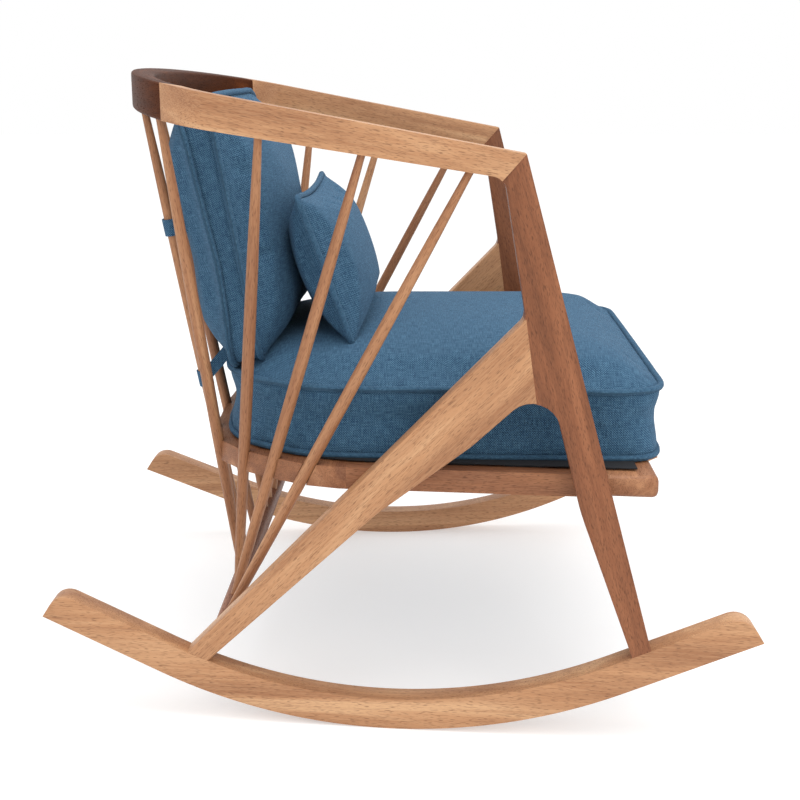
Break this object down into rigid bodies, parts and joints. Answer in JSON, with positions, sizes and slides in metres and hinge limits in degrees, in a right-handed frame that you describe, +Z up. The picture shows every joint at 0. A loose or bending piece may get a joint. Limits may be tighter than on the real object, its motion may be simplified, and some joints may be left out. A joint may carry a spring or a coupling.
{
  "type": "rocking chair",
  "caption": "Wooden rocking chair: spindle back under a bent top rail, raked legs and braces on long rockers, loose boxed seat cushion, tied back cushion and throw pillow.",
  "frame": {"origin": "on the floor, under the centre of the overall box", "axes": "+X is forward, the way a sitter faces; +Y is to the sitter's left; +Z is up, with the floor at z = 0"},
  "size_m": [0.901, 0.8022, 0.8086],
  "materials": {
    "rocker_wood": "satin",
    "frame_wood": "satin",
    "rail_wood": "satin",
    "spindle_wood": "satin",
    "seat_wood": "satin",
    "dowel_wood": "matte",
    "elastic_webbing": "matte",
    "black_cloth": "matte",
    "blue_fabric": "matte"
  },
  "bodies": {
    "chair": {"right_rocker": "rocker_wood", "right_front_leg": "frame_wood", "right_brace": "frame_wood", "right_arm": "frame_wood", "left_rocker": "rocker_wood", "left_front_leg": "frame_wood", "left_brace": "frame_wood", "left_arm": "frame_wood", "back_bow": "rail_wood", "right_spindle_1": "spindle_wood", "right_spindle_2": "spindle_wood", "right_spindle_3": "spindle_wood", "right_spindle_4": "spindle_wood", "right_spindle_5": "spindle_wood", "left_spindle_1": "spindle_wood", "left_spindle_2": "spindle_wood", "left_spindle_3": "spindle_wood", "left_spindle_4": "spindle_wood", "left_spindle_5": "spindle_wood", "middle_spindle": "spindle_wood", "cross_rail": "rail_wood", "seat_front_rail": "seat_wood", "seat_back_rail": "seat_wood", "right_seat_rail": "seat_wood", "left_seat_rail": "seat_wood", "seat_webbing": "elastic_webbing", "platform_cloth": "black_cloth", "side_frame_dowels": "dowel_wood", "top_rail_dowels": "dowel_wood", "seat_dowels": "dowel_wood", "back_cushion": "blue_fabric", "cushion_loops": "blue_fabric"},
    "seat_cushion_body": {"seat_cushion": "blue_fabric"},
    "pillow_body": {"throw_pillow": "blue_fabric"}
  },
  "joints": [
    {"name": "seat_cushion_lift_off", "type": "slide", "parent": "chair", "child": "seat_cushion_body", "axis": [1, 0, 0], "range_m": [0, 0.6]},
    {"name": "pillow_lift_off", "type": "slide", "parent": "chair", "child": "pillow_body", "axis": [0, 0, 1], "range_m": [0, 0.3]}
  ]
}
